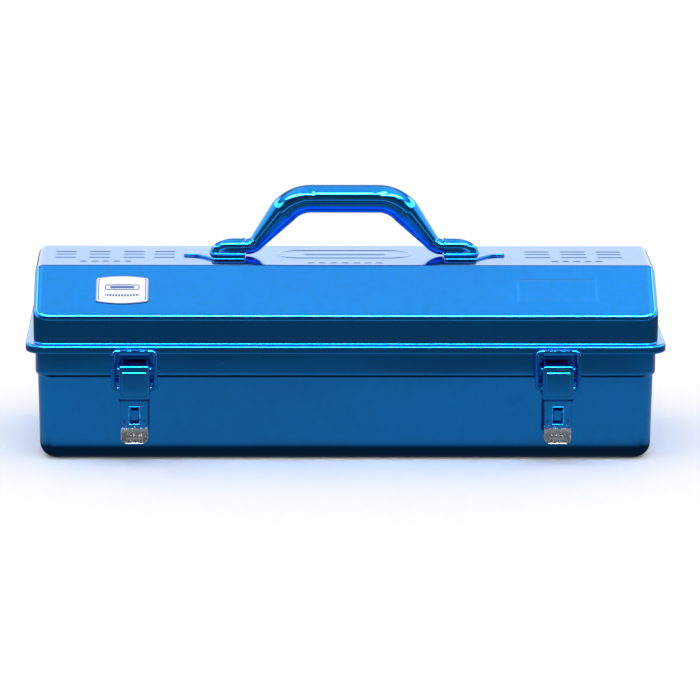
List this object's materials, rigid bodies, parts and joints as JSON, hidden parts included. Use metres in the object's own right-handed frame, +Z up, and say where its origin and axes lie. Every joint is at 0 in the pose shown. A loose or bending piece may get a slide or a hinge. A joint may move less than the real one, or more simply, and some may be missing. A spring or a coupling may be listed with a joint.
{
  "type": "metal tool box",
  "caption": "Camber-top sheet steel tool box with a hinged lid, a swinging carry handle and draw latches with wire bails.",
  "frame": {"origin": "on the floor under the middle of the base pan's flat bottom", "axes": "+X along the length, +Y from the latches at the front to the hinges at the back, +Z up"},
  "size_m": [0.412, 0.1778, 0.1674],
  "materials": {
    "blue_enamel": "glossy translucent blue over bright steel",
    "plated_steel": "bright plated",
    "printed_label": "white printed film with a blue border"
  },
  "bodies": {
    "root": {"base_pan": "blue_enamel", "hinge_leaf_body_left": "blue_enamel", "hinge_leaf_body_right": "blue_enamel", "hinge_pin_left": "plated_steel", "hinge_pin_right": "plated_steel", "latch_base_left": "blue_enamel", "latch_base_right": "blue_enamel", "lever_pin_left": "blue_enamel", "lever_pin_right": "blue_enamel"},
    "lid": {"lid_shell": "blue_enamel", "label": "printed_label", "handle_bracket_left": "blue_enamel", "handle_bracket_right": "blue_enamel", "hinge_leaf_lid_left": "blue_enamel", "hinge_leaf_lid_right": "blue_enamel", "catch_left": "blue_enamel", "catch_right": "blue_enamel"},
    "carry_handle": {"handle": "blue_enamel"},
    "lever_left": {"latch_lever_left": "blue_enamel"},
    "lever_right": {"latch_lever_right": "blue_enamel"},
    "wire_left": {"bail_left": "blue_enamel"},
    "wire_right": {"bail_right": "blue_enamel"}
  },
  "joints": [
    {"name": "lid_hinge", "type": "hinge", "parent": "root", "child": "lid", "pos_m": [0, 0.0845, 0.0711], "axis": [-1, 0, 0], "range_deg": [0, 105]},
    {"name": "handle_swing", "type": "hinge", "parent": "lid", "child": "carry_handle", "pos_m": [0, 0, 0.1263], "axis": [1, 0, 0], "range_deg": [-80, 80]},
    {"name": "latch_left", "type": "hinge", "parent": "root", "child": "lever_left", "pos_m": [-0.1358, -0.0854, 0.062], "axis": [-1, 0, 0], "range_deg": [0, 105]},
    {"name": "latch_right", "type": "hinge", "parent": "root", "child": "lever_right", "pos_m": [0.1358, -0.0854, 0.062], "axis": [-1, 0, 0], "range_deg": [0, 105]},
    {"name": "bail_left_turn", "type": "hinge", "parent": "lever_left", "child": "wire_left", "pos_m": [-0.1358, -0.0847, 0.0495], "axis": [-1, 0, 0], "range_deg": [-64, 0]},
    {"name": "bail_right_turn", "type": "hinge", "parent": "lever_right", "child": "wire_right", "pos_m": [0.1358, -0.0847, 0.0495], "axis": [-1, 0, 0], "range_deg": [-64, 0]}
  ],
  "couplings": [
    {"joint": "bail_left_turn", "follows": "latch_left", "ratio": -0.6},
    {"joint": "bail_right_turn", "follows": "latch_right", "ratio": -0.6}
  ]
}
